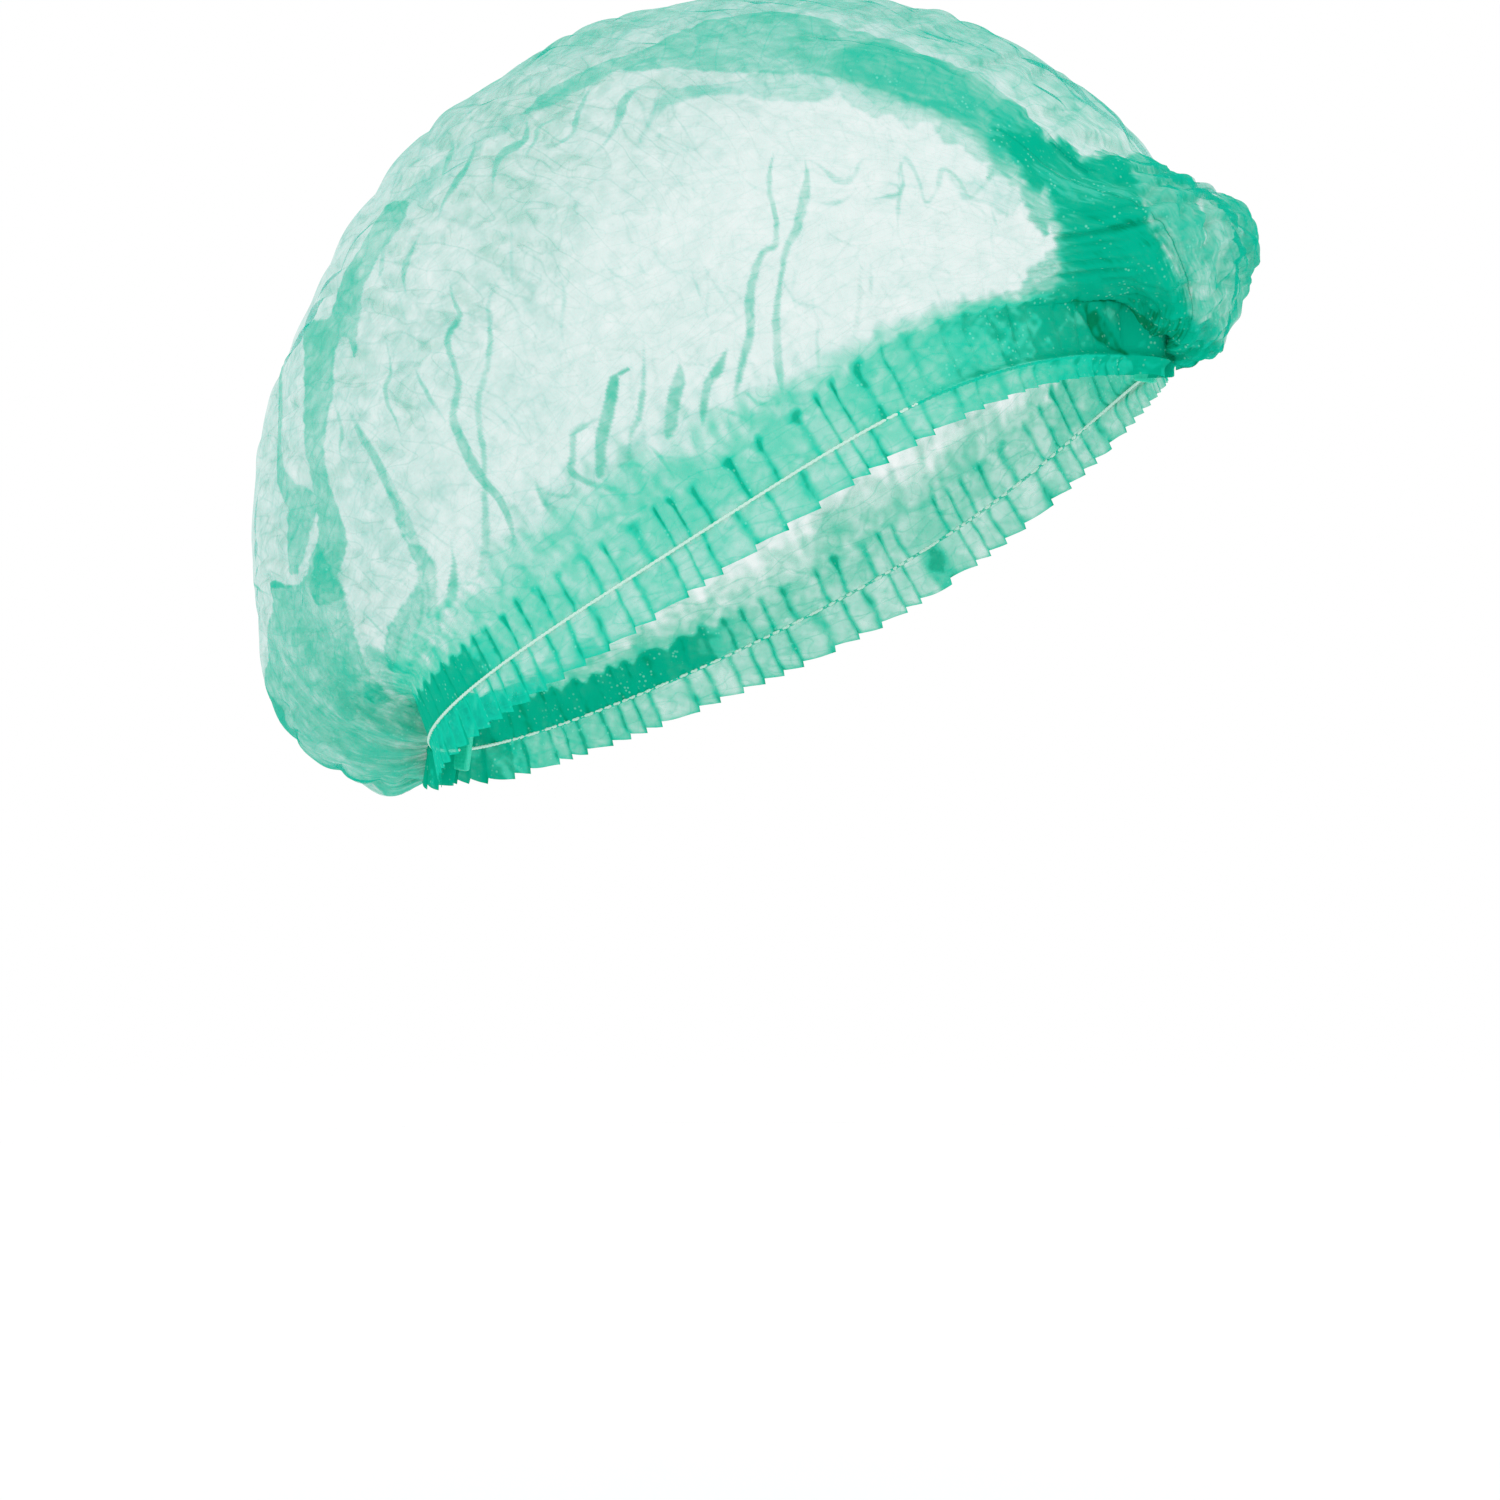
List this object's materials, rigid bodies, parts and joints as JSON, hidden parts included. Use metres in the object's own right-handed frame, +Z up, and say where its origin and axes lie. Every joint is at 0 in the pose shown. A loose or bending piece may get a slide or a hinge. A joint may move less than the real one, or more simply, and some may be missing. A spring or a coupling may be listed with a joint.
{
  "type": "bouffant cap",
  "caption": "Pleated disposable bouffant cap of thin green non-woven, opened as worn, with gathered elastic hems and fused pleat ends.",
  "frame": {"origin": "middle of the wearer's head at the level of the tilted hem loop, where the head sits in the cap", "axes": "+Z up, -Y out of the wearer's face, -X to the wearer's right"},
  "size_m": [0.1744, 0.2444, 0.1874],
  "materials": {
    "nonwoven": "sheer matte spunbond",
    "hem_nonwoven": "doubled and gathered matte spunbond",
    "elastic_thread": "pale covered elastic",
    "fused_nonwoven": "fused, slightly glossy"
  },
  "bodies": {
    "root": {"crown": "nonwoven", "hem_right": "hem_nonwoven", "hem_left": "hem_nonwoven", "elastic_right": "elastic_thread", "elastic_left": "elastic_thread", "front_weld": "fused_nonwoven", "rear_weld": "fused_nonwoven"}
  },
  "joints": []
}
